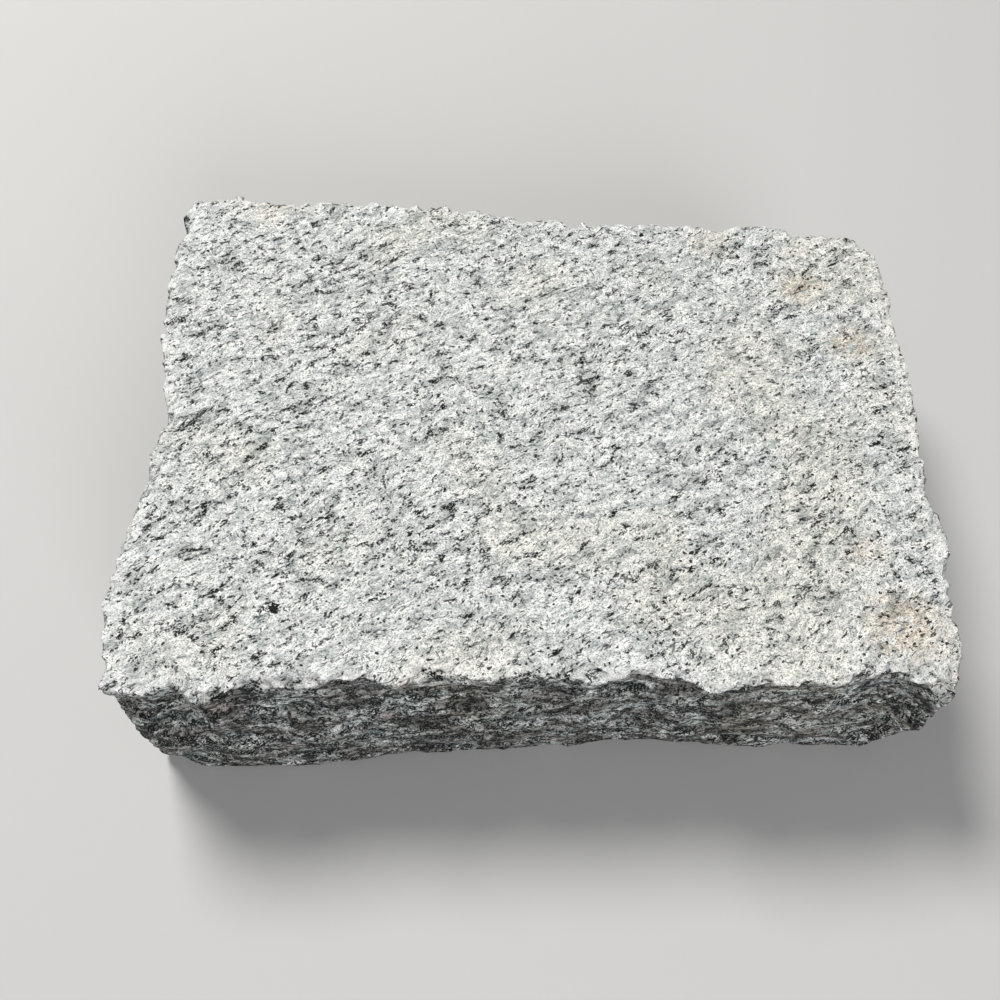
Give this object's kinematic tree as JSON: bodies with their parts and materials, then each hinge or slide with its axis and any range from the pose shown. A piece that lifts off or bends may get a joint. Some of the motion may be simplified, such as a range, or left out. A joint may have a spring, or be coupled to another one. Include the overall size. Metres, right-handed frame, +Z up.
{
  "type": "granite slab",
  "caption": "Rough-split block of grey-white granite with broken edges and a near-flat top, laid on a bench as a heavy, hard surface to work or pound on.",
  "frame": {"origin": "bottom centre of the bounding box, on the plane that the slab rests on", "axes": "+X along the length, +Y across the width from the front to the back, +Z up out of the broad upper face"},
  "size_m": [0.3, 0.231, 0.08],
  "materials": {
    "granite": "split rough"
  },
  "bodies": {
    "root": {"granite_slab": "granite"}
  },
  "joints": []
}
